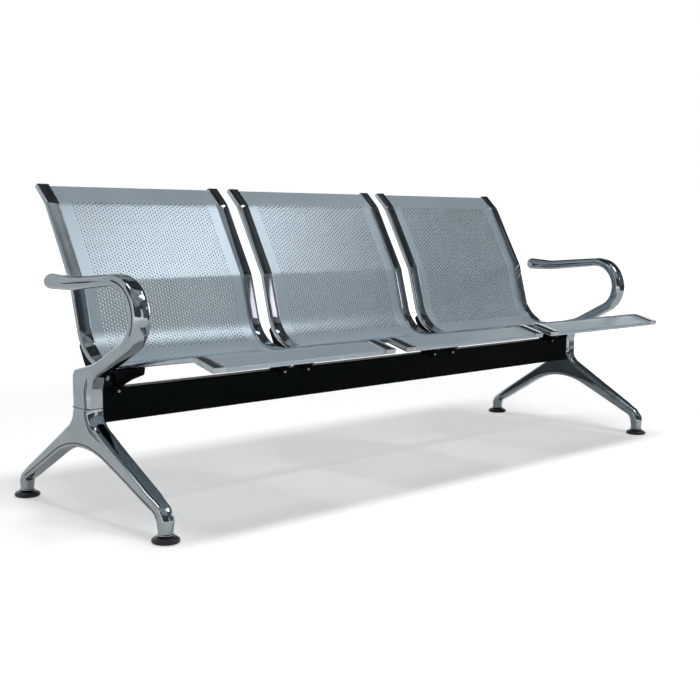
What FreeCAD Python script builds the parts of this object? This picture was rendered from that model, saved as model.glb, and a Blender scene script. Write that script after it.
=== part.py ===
"""Three-seat beam seating: a steel beam on two cast legs with armrests, and three bent seats.

Every part is drawn in a side view whose first axis is Y (front is negative) and whose second is Z.
The side view is centred between the front and rear feet; each part's Placement then carries it
along the beam (X) and shifts it so that the origin is under the middle of the whole seat.
"""
import FreeCAD, Part
import math
import os

from FreeCAD import Placement, Rotation, Vector

# Driving sizes in millimetres and degrees; a formula ties a size to others
SIZES = {
    # seats along the beam
    "seat_count": 3,
    "seat_width": 542.0,
    "seat_space": 37.0,
    "seat_pitch": "=seat_width + seat_space",
    # side rails that frame each seat
    "rail_width": 34.0,
    "rail_depth": 13.0,
    "rail_wall": 1.5,
    "cap_thickness": 3.0,
    "cap_plug_length": 12.0,
    # bent seat line, measured on the rails' face
    "seat_corner_rise": 39.0,
    "seat_corner_setback": 79.0,
    "pan_angle": 8.9,
    "pan_length": 398.0,
    "front_drop_angle": 15.0,
    "front_length": 68.0,
    "lower_back_angle": 15.4,
    "lower_back_length": 212.0,
    "upper_back_angle": 30.0,
    "upper_back_length": 194.0,
    "top_flange_angle": 46.5,
    "top_flange_length": 60.0,
    "front_bend_radius": 32.0,
    "seat_bend_radius": 95.0,
    "lumbar_bend_radius": 30.0,
    "top_bend_radius": 36.0,
    # bent sheet between the rails
    "sheet_thickness": 1.5,
    "sheet_setback": 5.0,
    "sheet_side_flange": 7.5,
    "front_lip": 9.0,
    "front_lip_radius": 3.0,
    "sheet_end_setback": 3.0,
    "sheet_gap": 0.2,
    # plain openings of the sheets, in place of their many small holes
    "opening_columns": 8,
    "opening_field_width": 420.0,
    "opening_row_pitch": 61.0,
    "opening_width": 24.0,
    "opening_height": 24.0,
    # beam
    "beam_height": 75.0,
    "beam_depth": 35.0,
    "beam_wall": 2.5,
    "beam_corner_radius": 4.0,
    "beam_bottom_height": 206.0,
    "beam_setback": 21.0,
    # cast legs
    "leg_space": 53.0,
    "feet_spacing": "=(seat_count - 1) * seat_pitch + seat_width + 2 * leg_space",
    "feet_track": 542.0,
    "casting_width": 44.0,
    "limb_width": 40.0,
    "limb_taper_start": 60.0,
    "limb_taper_end": 125.0,
    "seam_height": 245.0,
    "column_front": 24.0,
    "foot_boss_diameter": 34.0,
    "foot_boss_height": 15.0,
    "rear_limb_angle": 34.0,
    "rear_knee_height": 47.0,
    "rear_knee_radius": 40.0,
    "rear_instep_height": 42.0,
    "rear_instep_radius": 15.0,
    "front_limb_angle": 29.6,
    "front_knee_height": 66.0,
    "front_knee_radius": 48.0,
    "front_instep_height": 56.0,
    "front_instep_radius": 20.0,
    "arch_peak_height": 184.0,
    "arch_peak_setback": 20.0,
    "arch_radius": 205.0,
    "shoulder_radius": 48.0,
    "leg_edge_bevel": 9.0,
    # cast armrests, with their heights measured from the seam on top of the leg
    "armrest_edge_bevel": 9.0,
    "loop_centre_height": 209.0,
    "loop_centre_front": 108.0,
    "loop_inner_radius": 62.0,
    "loop_outer_radius": 88.0,
    "loop_outer_offset": 7.0,
    "lower_arm_angle": 28.2,
    "pad_top_angle": 4.8,
    "pad_underside_angle": 6.2,
    "arm_dip_setback": 66.0,
    "arm_dip_radius": 160.0,
    "arm_tip_setback": 179.0,
    "arm_tip_top": 285.0,
    "arm_tip_underside": 252.0,
    "arm_tip_radius": 15.5,
    "column_top_height": 81.4,
    "column_top_radius": 18.0,
    "column_top_slope": 14.7,
    "arm_saddle_radius": 120.0,
    "arm_root_radius": 55.0,
    # tongues of the castings inside the beam
    "tongue_length": 45.0,
    "tongue_clearance": 0.3,
    # brackets that carry the seats on the beam
    "bracket_inset": 22.0,
    "seat_gap": 0.1,
    "saddle_width": 30.0,
    "saddle_thickness": 3.0,
    "saddle_lip": 16.0,
    "saddle_ear_radius": 12.0,
    "arm_width": 23.4,
    "arm_reach": 115.0,
    "arm_tip_drop": 17.0,
    "heel_turn": 73.0,
    "heel_thickness": 20.0,
    "heel_back_length": 60.0,
    "heel_radius": 40.0,
    # fasteners
    "fastener_clearance": 0.1,
    "cross_bolt_diameter": 8.0,
    "cross_bolt_height": 23.0,
    "cross_bolt_lead": 6.0,
    "tongue_bolt_diameter": 8.0,
    "tongue_bolt_length": 18.0,
    "armrest_bolt_diameter": 10.0,
    "armrest_bolt_length": 90.0,
    "armrest_bolt_grip": 40.0,
    # levelling feet
    "stud_diameter": 12.0,
    "stud_length": 34.0,
    "stud_bottom_height": 4.0,
    "stud_clearance": 0.05,
    "foot_diameter": 60.0,
    "foot_rim_height": 9.0,
    "foot_neck_diameter": 24.0,
    "foot_gap": 0.3,
}


def add_sheet(doc):
    """The sheet of driving sizes, one alias to each."""
    sheet = doc.addObject("Spreadsheet::Sheet", "Sizes")
    for row, (name, value) in enumerate(SIZES.items(), start=1):
        sheet.set(f"A{row}", name)
        sheet.set(f"B{row}", str(value))
        sheet.setAlias(f"B{row}", name)
    doc.recompute()
    return sheet


DOC = FreeCAD.newDocument("beam_seating")
SHEET = add_sheet(DOC)


def size(name):
    """A size from the sheet, in millimetres or degrees."""
    return float(getattr(SHEET, name))


def point(y, z):
    """A point of the side view."""
    return Vector(y, z, 0)


def along(start, angle, length):
    """The point that lies a length from start, at an angle up from the Y axis."""
    turn = math.radians(angle)
    return start + Vector(math.cos(turn), math.sin(turn), 0) * length


def left_of(direction):
    """The unit vector on the left of a direction in the side view."""
    return Vector(-direction.y, direction.x, 0).normalize()


def crossing(first, first_direction, second, second_direction):
    """Where two lines of the side view meet."""
    across = first_direction.x * second_direction.y - first_direction.y * second_direction.x
    gap = second - first
    reach = (gap.x * second_direction.y - gap.y * second_direction.x) / across
    return first + first_direction * reach


def corner_arc(before, corner, after, radius):
    """The start, arc and end that round a corner, tangent to both of its sides."""
    back = (before - corner).normalize()
    ahead = (after - corner).normalize()
    half = back.getAngle(ahead) / 2
    reach = radius / math.tan(half)
    middle = (back + ahead).normalize() * (radius / math.sin(half) - radius)
    start = corner + back * reach
    end = corner + ahead * reach
    return start, Part.Arc(start, corner + middle, end), end


def path_edges(points, radii):
    """Lines and tangent arcs along an open path; radii are for its inner points, 0 for a sharp one."""
    edges = []
    start = points[0]
    for before, corner, after, radius in zip(points, points[1:], points[2:], radii):
        if radius > 0:
            end, arc, next_start = corner_arc(before, corner, after, radius)
            edges += [Part.LineSegment(start, end), arc]
            start = next_start
        else:
            edges.append(Part.LineSegment(start, corner))
            start = corner
    edges.append(Part.LineSegment(start, points[-1]))
    return edges


def loop_edges(corners):
    """A closed outline from (point, radius) corners; it starts in the middle of its first side."""
    points = [corner for corner, _ in corners]
    radii = [radius for _, radius in corners]
    start = (points[-1] + points[0]) / 2
    return path_edges([start] + points + [start], radii)


def offset_path(points, radii, distance):
    """The path moved to its left by a distance, with the radii that keep its bends concentric."""
    directions = [(after - before).normalize() for before, after in zip(points, points[1:])]
    moved = [points[0] + left_of(directions[0]) * distance]
    moved_radii = []
    for corner, into, out, radius in zip(points[1:], directions, directions[1:], radii):
        first = corner + left_of(into) * distance
        second = corner + left_of(out) * distance
        moved.append(crossing(first, into, second, out))
        left_turn = into.x * out.y - into.y * out.x > 0
        moved_radii.append(radius - distance if left_turn else radius + distance)
    moved.append(points[-1] + left_of(directions[-1]) * distance)
    return moved, moved_radii


def band(points, radii, near, far):
    """The closed outline of a band along a path, between two distances to its left."""
    near_points, near_radii = offset_path(points, radii, near)
    far_points, far_radii = offset_path(points, radii, far)
    edges = path_edges(near_points, near_radii)
    edges.append(Part.LineSegment(near_points[-1], far_points[-1]))
    edges += path_edges(far_points, far_radii)
    edges.append(Part.LineSegment(far_points[0], near_points[0]))
    return edges


def trimmed(points, front, back):
    """The path with a length cut from each end."""
    first = points[0] + (points[1] - points[0]).normalize() * front
    last = points[-1] + (points[-2] - points[-1]).normalize() * back
    return [first] + points[1:-1] + [last]


def origin_item(body, role):
    """One of the planes or axes of the body's own origin."""
    return next(item for item in body.Origin.OriginFeatures if item.Role == role)


def new_body(label):
    """An empty body whose label names its file."""
    body = DOC.addObject("PartDesign::Body", label)
    body.Label = label
    return body


def sketch(body, name, edges, role="YZ_Plane", lift=0.0):
    """A sketch of the given outline on one of the body's planes, lifted along the plane's normal."""
    drawing = body.newObject("Sketcher::SketchObject", name)
    drawing.AttachmentSupport = [(origin_item(body, role), "")]
    drawing.MapMode = "FlatFace"
    drawing.AttachmentOffset = Placement(Vector(0, 0, lift), Rotation())
    drawing.addGeometry(edges, False)
    return drawing


def pad(body, name, edges, length, role="YZ_Plane", lift=0.0):
    """A pad of an outline, spread evenly about its plane; length is an expression on the sheet."""
    feature = body.newObject("PartDesign::Pad", name)
    feature.Profile = sketch(body, name + "_outline", edges, role, lift)
    feature.SideType = "Symmetric"
    feature.setExpression("Length", length)
    return feature


def pocket(body, name, edges, length, role="YZ_Plane", lift=0.0):
    """A pocket of an outline, spread evenly about its plane."""
    feature = body.newObject("PartDesign::Pocket", name)
    feature.Profile = sketch(body, name + "_outline", edges, role, lift)
    feature.SideType = "Symmetric"
    feature.setExpression("Length", length)
    return feature


def turned(body, name, edges):
    """A solid of revolution about the body's Z axis, from an outline in the XZ plane."""
    feature = body.newObject("PartDesign::Revolution", name)
    profile = sketch(body, name + "_outline", edges, "XZ_Plane")
    feature.Profile = profile
    feature.ReferenceAxis = (profile, ["V_Axis"])
    feature.Angle = 360
    return feature


def axis_placement(base, direction):
    """The placement that turns the Z axis to a direction and starts it at a point."""
    return Placement(base, Rotation(Vector(0, 0, 1), direction))


def drill(body, name, base, direction, diameter, depth):
    """A round hole from a point along a direction; diameter and depth are expressions."""
    hole = body.newObject("PartDesign::SubtractiveCylinder", name)
    hole.setExpression("Radius", f"({diameter}) / 2")
    hole.setExpression("Height", depth)
    hole.Placement = axis_placement(base, direction)
    return hole


def rectangle(low_y, low_z, high_y, high_z, radius=0.0):
    """A closed rectangle of the side view with equal corner radii."""
    corners = [point(low_y, low_z), point(high_y, low_z), point(high_y, high_z), point(low_y, high_z)]
    return loop_edges([(corner, radius) for corner in corners])


def bevel_edges(body, name, base, depth, wanted):
    """A chamfer on the edges of a feature that a test picks out."""
    DOC.recompute()
    names = [f"Edge{index}" for index, edge in enumerate(base.Shape.Edges, start=1) if wanted(edge)]
    feature = body.newObject("PartDesign::Chamfer", name)
    feature.Base = (base, names)
    feature.setExpression("Size", depth)
    return feature


def place(item, x="0"):
    """Carry a part along the beam and shift it to the common origin."""
    item.setExpression(".Placement.Base.x", x)
    item.setExpression(".Placement.Base.y", "Sizes.centre_shift")


def beside(edge, distance):
    """True for an edge that lies wholly farther than a distance from the side view's plane."""
    box = edge.BoundBox
    return box.XMin > distance or box.XMax < -distance


# Heights and places that several parts share

BEAM_TOP = size("beam_bottom_height") + size("beam_height")
BEAM_FRONT = size("beam_setback") - size("beam_depth") / 2
BEAM_BACK = size("beam_setback") + size("beam_depth") / 2
SEAT_CORNER = point(
    size("beam_setback") + size("seat_corner_setback"),
    BEAM_TOP + size("seat_corner_rise"),
)


def seat_line():
    """The rails' face from the front tip to the top of the back, with its bend radii."""
    front_bend = along(SEAT_CORNER, 180 - size("pan_angle"), size("pan_length"))
    tip = along(front_bend, 180 + size("front_drop_angle"), size("front_length"))
    lumbar = along(SEAT_CORNER, 90 - size("lower_back_angle"), size("lower_back_length"))
    top_bend = along(lumbar, 90 - size("upper_back_angle"), size("upper_back_length"))
    top = along(top_bend, 90 - size("top_flange_angle"), size("top_flange_length"))
    names = ["front_bend_radius", "seat_bend_radius", "lumbar_bend_radius", "top_bend_radius"]
    return [tip, front_bend, SEAT_CORNER, lumbar, top_bend, top], [size(name) for name in names]


SEAT_POINTS, SEAT_RADII = seat_line()


def centre_shift():
    """How far back every part moves so that the origin lies under the middle of the whole seat."""
    edges = band(SEAT_POINTS, SEAT_RADII, 0, -size("rail_depth"))
    outline = Part.Wire([edge.toShape() for edge in edges])
    front = outline.BoundBox.XMin
    foot_back = (size("feet_track") + size("foot_diameter")) / 2
    back = max(outline.BoundBox.XMax, foot_back)
    return -(front + back) / 2


def add_centre_shift():
    """Store the shift beside the driving sizes, where the placements read it."""
    row = len(SIZES) + 1
    SHEET.set(f"A{row}", "centre_shift")
    SHEET.set(f"B{row}", str(centre_shift()))
    SHEET.setAlias(f"B{row}", "centre_shift")
    DOC.recompute()


add_centre_shift()


SEAT_NUMBERS = range(1, int(size("seat_count")) + 1)


def pitches_from_middle(number):
    """How many pitches a seat stands from the middle of the row."""
    return number - (size("seat_count") + 1) / 2


SIDES = [("left", -1), ("right", 1)]


def rail_offset(side):
    """The expression for a rail's middle, from the middle of its seat."""
    return f"{side} * (Sizes.seat_width - Sizes.rail_width) / 2"


def bracket_offset(side):
    """The expression for a bracket's middle, from the middle of its seat."""
    return f"{side} * (Sizes.seat_width / 2 - Sizes.bracket_inset)"


def build_beam():
    """The rectangular steel tube that everything hangs on, with its bolt holes."""
    body = new_body("beam")
    top, bottom = BEAM_TOP, size("beam_bottom_height")
    wall, radius = size("beam_wall"), size("beam_corner_radius")
    length = "Sizes.feet_spacing - Sizes.casting_width - 2 * Sizes.tongue_clearance"
    pad(body, "beam_tube", rectangle(BEAM_FRONT, bottom, BEAM_BACK, top, radius), length)
    inside = rectangle(BEAM_FRONT + wall, bottom + wall, BEAM_BACK - wall, top - wall, radius - wall)
    pocket(body, "beam_hollow", inside, length + " + 10")
    bolt_hole = "Sizes.tongue_bolt_diameter + 2 * Sizes.fastener_clearance"
    for start in tongue_bolt_places():
        drill(body, "tongue_hole", start, Vector(0, 1, 0), bolt_hole, "Sizes.beam_depth")
    place(body)
    return body


def both_sides(reach):
    """The places along the beam that lie a reach to each side of every seat's middle."""
    middles = [size("seat_pitch") * pitches_from_middle(number) for number in SEAT_NUMBERS]
    return [middle + side * reach for middle in middles for _, side in SIDES]


def bracket_places():
    """Every bracket's middle along the beam."""
    return both_sides(size("seat_width") / 2 - size("bracket_inset"))


def tongue_heights():
    """The middle height of the leg's and of the armrest's tongue in the beam."""
    low = size("beam_bottom_height") + size("beam_wall")
    high = BEAM_TOP - size("beam_wall")
    return [(low + size("seam_height")) / 2, (size("seam_height") + high) / 2]


def tongue_bolt_places():
    """Points in the middle of the beam where bolts run back through its rear wall."""
    inner = (size("feet_spacing") - size("casting_width")) / 2 - size("tongue_length") / 2
    return [Vector(side * inner, size("beam_setback"), z) for _, side in SIDES for z in tongue_heights()]


def tongue(body, name, side, bottom, top):
    """The block of a casting that fills one half of the beam's end."""
    gap = size("beam_wall") + size("tongue_clearance")
    radius = max(size("beam_corner_radius") - gap, 0.5)
    outline = rectangle(BEAM_FRONT + gap, bottom, BEAM_BACK - gap, top, radius)
    root = size("casting_width") / 2 - 5
    middle = -side * (root + (size("tongue_length") + 5) / 2)
    return pad(body, name, outline, "Sizes.tongue_length + 5", lift=middle)


def leg_outline():
    """The side view of a leg casting: a column that parts into two limbs over an arch."""
    seam, bottom = size("seam_height"), size("foot_boss_height")
    half_track, boss = size("feet_track") / 2, size("foot_boss_diameter") / 2
    column_front = -size("column_front")
    toe, inner = half_track + boss, half_track - boss
    rear_knee = point(toe, size("rear_knee_height"))
    front_knee = point(-toe, size("front_knee_height"))
    rear_rise = math.tan(math.radians(size("rear_limb_angle")))
    front_rise = math.tan(math.radians(size("front_limb_angle")))
    rear_shoulder = point(BEAM_BACK, rear_knee.y + (toe - BEAM_BACK) * rear_rise)
    front_shoulder = point(column_front, front_knee.y + (toe + column_front) * front_rise)
    return [
        (point(BEAM_BACK, seam), 0),
        (rear_shoulder, size("shoulder_radius")),
        (rear_knee, size("rear_knee_radius")),
        (point(toe, bottom), 0),
        (point(inner, bottom), 0),
        (point(inner, size("rear_instep_height")), size("rear_instep_radius")),
        (point(size("arch_peak_setback"), size("arch_peak_height")), size("arch_radius")),
        (point(-inner, size("front_instep_height")), size("front_instep_radius")),
        (point(-inner, bottom), 0),
        (point(-toe, bottom), 0),
        (front_knee, size("front_knee_radius")),
        (front_shoulder, size("shoulder_radius")),
        (point(column_front, seam), 0),
    ]


def leg_plan():
    """Half widths of the leg against its length, as a closed outline seen from above."""
    boss, limb, column = size("foot_boss_diameter") / 2, size("limb_width") / 2, size("casting_width") / 2
    toe = size("feet_track") / 2 + boss
    ankle = size("feet_track") / 2 - 2 * boss
    stations = [
        (toe, boss, boss - 0.5),
        (ankle, limb, 60),
        (size("limb_taper_end"), limb, 60),
        (size("limb_taper_start"), column, 60),
    ]
    front_right = [(Vector(width, -y, 0), radius) for y, width, radius in stations]
    rear_right = [(Vector(width, y, 0), radius) for y, width, radius in reversed(stations)]
    rear_left = [(Vector(-width, y, 0), radius) for y, width, radius in stations]
    front_left = [(Vector(-width, -y, 0), radius) for y, width, radius in reversed(stations)]
    return loop_edges(front_right + rear_right + rear_left + front_left)


def build_leg(label, side):
    """One cast leg: limbs trimmed to their plan, bevelled edges, stud bores and a tongue."""
    body = new_body(label)
    casting = pad(body, "casting", loop_edges(leg_outline()), "Sizes.casting_width")
    inside = size("casting_width") / 2 - 1
    low, high = size("foot_boss_height") + 1, size("seam_height") - 1

    def bevelled(edge):
        box = edge.BoundBox
        return beside(edge, inside) and box.ZMax > low and box.ZMin < high

    bevel_edges(body, "bevel", casting, "Sizes.leg_edge_bevel", bevelled)
    reach = size("feet_track")
    frame = rectangle(-reach, -reach, reach, reach)
    pocket(body, "plan_trim", frame + leg_plan(), "4 * Sizes.seam_height", role="XY_Plane")
    bore = "Sizes.stud_diameter + 2 * Sizes.stud_clearance"
    for end in (-1, 1):
        mouth = Vector(0, end * size("feet_track") / 2, size("foot_boss_height") - 1)
        drill(body, "stud_bore", mouth, Vector(0, 0, 1), bore, "Sizes.stud_length")
    bottom = size("beam_bottom_height") + size("beam_wall") + size("tongue_clearance")
    tongue(body, "tongue", side, bottom, size("seam_height"))
    drill_tongue(body, side, tongue_heights()[0])
    shank = "Sizes.armrest_bolt_diameter + 2 * Sizes.fastener_clearance"
    drill(body, "armrest_bolt_hole", armrest_bolt_seat(), Vector(0, 0, 1), shank, "Sizes.seam_height")
    head = "2 * Sizes.armrest_bolt_diameter"
    drill(body, "armrest_bolt_recess", armrest_bolt_seat(), Vector(0, 0, -1), head, "Sizes.seam_height")
    place(body, f"{side} * Sizes.feet_spacing / 2")
    return body


def armrest_bolt_seat():
    """Where the head of the upright bolt bears inside the leg, under the armrest's column."""
    middle = (BEAM_BACK - size("column_front")) / 2
    head = size("seam_height") - size("armrest_bolt_length") + size("armrest_bolt_grip")
    return Vector(0, middle, head)


def drill_tongue(body, side, height):
    """The threaded hole that takes a bolt through the beam's rear wall."""
    reach = size("casting_width") / 2 + size("tongue_length") / 2
    start = Vector(-side * reach, BEAM_FRONT + 8, height)
    hole = "Sizes.tongue_bolt_diameter + 2 * Sizes.fastener_clearance"
    drill(body, "tongue_bolt_hole", start, Vector(0, 1, 0), hole, "Sizes.beam_depth")


def armrest_edges():
    """The side view of an armrest: a column, a forward loop and a pad that ends in a round tip."""
    seam = size("seam_height")
    inner = point(-size("loop_centre_front"), seam + size("loop_centre_height"))
    outer = inner - point(size("loop_outer_offset"), 0)
    lower, over = -size("lower_arm_angle"), -size("pad_top_angle")
    under = -size("pad_underside_angle")
    inner_radius, outer_radius = size("loop_inner_radius"), size("loop_outer_radius")
    inner_low = along(inner, lower - 90, inner_radius)
    inner_high = along(inner, under + 90, inner_radius)
    outer_low = along(outer, lower - 90, outer_radius)
    outer_high = along(outer, over + 90, outer_radius)
    column_front = -size("column_front")
    shoulder = point(BEAM_BACK, seam + size("column_top_height"))
    up, back, down_back = Vector(0, 1, 0), Vector(1, 0, 0), along(Vector(), lower, 1)
    slope = along(Vector(), 180 - size("column_top_slope"), 1)
    root_back = crossing(inner_low, down_back, shoulder, slope)
    root_front = crossing(outer_low, down_back, point(column_front, seam), up)
    dip = point(size("arm_dip_setback"), 0)
    dip_over = crossing(outer_high, along(Vector(), over, 1), dip, up)
    dip_under = crossing(inner_high, along(Vector(), under, 1), dip, up)
    tip_over = point(size("arm_tip_setback"), seam + size("arm_tip_top"))
    tip_under = point(size("arm_tip_setback"), seam + size("arm_tip_underside"))
    dip_radius, tip_radius = size("arm_dip_radius"), size("arm_tip_radius")
    edges = path_edges(
        [point(BEAM_BACK, seam), shoulder, root_back, inner_low],
        [size("column_top_radius"), size("arm_saddle_radius")],
    )
    edges.append(Part.Arc(inner_low, inner - back * inner_radius, inner_high))
    edges += path_edges(
        [inner_high, dip_under, tip_under, tip_over, dip_over, outer_high],
        [dip_radius, tip_radius, tip_radius, dip_radius],
    )
    edges.append(Part.Arc(outer_high, outer - back * outer_radius, outer_low))
    edges += path_edges(
        [outer_low, root_front, point(column_front, seam), point(BEAM_BACK, seam)],
        [size("arm_root_radius"), 0],
    )
    return edges


def build_armrest(label, side):
    """One cast armrest: the looped arm, its bevelled edges, its tongue and its bolt holes."""
    body = new_body(label)
    arm = pad(body, "casting", armrest_edges(), "Sizes.casting_width")
    inside = size("casting_width") / 2 - 1
    above_seam = size("seam_height") + 1
    bevel_edges(body, "bevel", arm, "Sizes.armrest_edge_bevel",
                lambda edge: beside(edge, inside) and edge.BoundBox.ZMax > above_seam)
    top = BEAM_TOP - size("beam_wall") - size("tongue_clearance")
    tongue(body, "tongue", side, size("seam_height"), top)
    drill_tongue(body, side, tongue_heights()[1])
    shank = "Sizes.armrest_bolt_diameter + 2 * Sizes.fastener_clearance"
    depth = "Sizes.armrest_bolt_length + 2"
    drill(body, "armrest_bolt_hole", armrest_bolt_seat(), Vector(0, 0, 1), shank, depth)
    place(body, f"{side} * Sizes.feet_spacing / 2")
    return body


def build_rail(label, seat_x, side):
    """One chromed side rail: a flat tube bent along the seat line, open at both ends for its caps."""
    body = new_body(label)
    cap = size("cap_thickness")
    points = trimmed(SEAT_POINTS, cap, cap)
    depth, wall = size("rail_depth"), size("rail_wall")
    pad(body, "tube", band(points, SEAT_RADII, 0, -depth), "Sizes.rail_width")
    through = trimmed(SEAT_POINTS, -1, -1)
    inside = "Sizes.rail_width - 2 * Sizes.rail_wall"
    pocket(body, "hollow", band(through, SEAT_RADII, -wall, wall - depth), inside)
    place(body, f"{seat_x} + {rail_offset(side)}")
    return body


def on_bend(depth, turn):
    """A point behind the rails' face on the bend under the back, some degrees round it from the pan."""
    radius = size("seat_bend_radius")
    centre = offset_path(SEAT_POINTS, SEAT_RADII, radius)[0][2]
    outward = along(Vector(), turn - 90 - size("pan_angle"), 1)
    return centre + outward * (radius + depth), outward


def opening_rows():
    """The side view of the openings: evenly spaced cuts through the straight stretches of the sheet."""
    thickness, half_height = size("sheet_thickness"), size("opening_height") / 2
    points, radii = offset_path(SEAT_POINTS, SEAT_RADII, -size("sheet_setback") - thickness / 2)
    straights = [edge for edge in path_edges(points, radii) if isinstance(edge, Part.LineSegment)]
    edges = []
    for straight in straights[1:4]:
        stretch = straight.EndPoint - straight.StartPoint
        rows = round(stretch.Length / size("opening_row_pitch"))
        ahead = stretch / stretch.Length * half_height
        aside = left_of(stretch) * thickness
        for row in range(rows):
            middle = straight.StartPoint + stretch * ((row + 0.5) / rows)
            corners = [middle - ahead - aside, middle + ahead - aside,
                       middle + ahead + aside, middle - ahead + aside]
            edges += [Part.LineSegment(*side) for side in zip(corners, corners[1:] + corners[:1])]
    return edges


def open_sheet(body):
    """The sheet's grid of openings: one column of cuts, repeated across the seat."""
    field, columns = size("opening_field_width"), size("opening_columns")
    first = (field / columns - field) / 2
    column = pocket(body, "opening_column", opening_rows(), "Sizes.opening_width", lift=first)
    grid = body.newObject("PartDesign::LinearPattern", "openings")
    grid.Originals = [column]
    grid.Direction = (origin_item(body, "X_Axis"), [""])
    grid.setExpression("Length", "Sizes.opening_field_width * (1 - 1 / Sizes.opening_columns)")
    grid.setExpression("Occurrences", "Sizes.opening_columns")
    body.Tip = grid


def build_shell(label, seat_x):
    """One seat shell: a single bent sheet with a front lip, folded sides and a grid of openings."""
    body = new_body(label)
    setback, thickness = size("sheet_setback"), size("sheet_thickness")
    end = size("sheet_end_setback")
    points, radii = offset_path(trimmed(SEAT_POINTS, end, end), SEAT_RADII, -setback)
    lip = points[0] - left_of(points[1] - points[0]) * size("front_lip")
    lipped = [lip] + points
    width = "Sizes.seat_width - 2 * Sizes.rail_width - 2 * Sizes.sheet_gap"
    pad(body, "sheet", band(lipped, [size("front_lip_radius")] + radii, 0, -thickness), width)
    middle = size("seat_width") / 2 - size("rail_width") - size("sheet_gap") - thickness / 2
    for name, side in SIDES:
        edges = band(points, radii, 0, -size("sheet_side_flange"))
        pad(body, f"{name}_flange", edges, "Sizes.sheet_thickness", lift=side * middle)
    open_sheet(body)
    place(body, seat_x)
    return body


def saddle_edges():
    """The end view of a saddle: a channel over the beam's top with a lip on each face."""
    thickness, lip = size("saddle_thickness"), size("saddle_lip")
    front, back = BEAM_FRONT - size("seat_gap"), BEAM_BACK + size("seat_gap")
    top = BEAM_TOP + size("seat_gap")
    corners = [
        (point(front, BEAM_TOP - lip), 0),
        (point(front, top), 0),
        (point(back, top), 0),
        (point(back, BEAM_TOP - lip), 0),
        (point(back + thickness, BEAM_TOP - lip), 0),
        (point(back + thickness, top + thickness), 0),
        (point(front - thickness, top + thickness), 0),
        (point(front - thickness, BEAM_TOP - lip), 0),
    ]
    return loop_edges(corners)


def ear_edges():
    """The side view of a saddle's upright ears, with the top corners cut off."""
    base = BEAM_TOP + size("seat_gap") + size("saddle_thickness") / 2
    radius = size("saddle_ear_radius")
    bolt = cross_bolt_centre()
    top = bolt.z + radius
    corners = [
        point(BEAM_FRONT, base),
        point(BEAM_BACK, base),
        point(bolt.y + radius, bolt.z),
        point(bolt.y + radius / 2, top),
        point(bolt.y - radius / 2, top),
        point(bolt.y - radius, bolt.z),
    ]
    return loop_edges([(corner, 0) for corner in corners])


def cross_bolt_centre():
    """The middle of the bolt that crosses a bracket's ears."""
    return Vector(0, size("beam_setback") - size("cross_bolt_lead"), BEAM_TOP + size("cross_bolt_height"))


def build_saddle(label, seat_x, side):
    """One pressed saddle: the channel over the beam, two ears, and a hole across them."""
    body = new_body(label)
    pad(body, "channel", saddle_edges(), "Sizes.saddle_width")
    pad(body, "ears", ear_edges(), "Sizes.saddle_width")
    floor = BEAM_TOP + size("seat_gap") + size("saddle_thickness")
    slot = rectangle(BEAM_FRONT - 10, floor, BEAM_BACK + 10, floor + size("beam_height"))
    pocket(body, "slot", slot, "Sizes.saddle_width - 2 * Sizes.saddle_thickness")
    bolt = "Sizes.cross_bolt_diameter + 2 * Sizes.fastener_clearance"
    start = cross_bolt_centre() - Vector(size("saddle_width"), 0, 0)
    drill(body, "cross_bolt_hole", start, Vector(1, 0, 0), bolt, "2 * Sizes.saddle_width")
    place(body, f"{seat_x} + {bracket_offset(side)}")
    return body


def arm_edges():
    """The side view of a seat arm: it follows the rail's underside from under the pan up the back."""
    depth = size("rail_depth") + size("seat_gap")
    under, _ = offset_path(SEAT_POINTS, SEAT_RADII, -depth)
    forward = (under[1] - under[2]).normalize()
    length = (under[2].x - size("beam_setback") + size("arm_reach")) / -forward.x
    tip_top = under[2] + forward * length
    bend_start, _ = on_bend(depth, 0)
    bend_middle, _ = on_bend(depth, size("heel_turn") / 2)
    heel_top, outward = on_bend(depth, size("heel_turn"))
    heel_back = heel_top + outward * size("heel_thickness")
    heel_foot = heel_back - left_of(outward) * size("heel_back_length")
    floor = BEAM_TOP + 2 * size("seat_gap") + size("saddle_thickness")
    tip_low = point(tip_top.x, tip_top.y - size("arm_tip_drop"))
    edges = [Part.LineSegment(tip_top, bend_start), Part.Arc(bend_start, bend_middle, heel_top)]
    floor_back = point(BEAM_BACK + size("saddle_thickness"), floor)
    floor_front = point(BEAM_FRONT - size("saddle_thickness"), floor)
    return edges + path_edges(
        [heel_top, heel_back, heel_foot, floor_back, floor_front, tip_low, tip_top],
        [size("heel_thickness") * 0.4, size("heel_radius"), 0, 0, size("arm_tip_drop") * 0.5],
    )


def build_arm(label, seat_x, side):
    """One cast seat arm, with the hole for the bolt that holds it between a saddle's ears."""
    body = new_body(label)
    pad(body, "casting", arm_edges(), "Sizes.arm_width")
    bolt = "Sizes.cross_bolt_diameter + 2 * Sizes.fastener_clearance"
    start = cross_bolt_centre() - Vector(size("saddle_width"), 0, 0)
    drill(body, "cross_bolt_hole", start, Vector(1, 0, 0), bolt, "2 * Sizes.saddle_width")
    place(body, f"{seat_x} + {bracket_offset(side)}")
    return body


def cylinder(radius, length, base, direction):
    """A plain cylinder from a point along a direction, with its sizes as expressions."""
    item = DOC.addObject("Part::Cylinder", "shank")
    item.setExpression("Radius", radius)
    item.setExpression("Height", length)
    item.Placement = axis_placement(base, direction)
    return item


def hexagon(across, length, base, direction):
    """A six-sided prism from a point along a direction; across is its width over the corners."""
    item = DOC.addObject("Part::Prism", "hexagon")
    item.Polygon = 6
    item.setExpression("Circumradius", f"({across}) / 2")
    item.setExpression("Height", length)
    item.Placement = axis_placement(base, direction)
    return item


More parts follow.
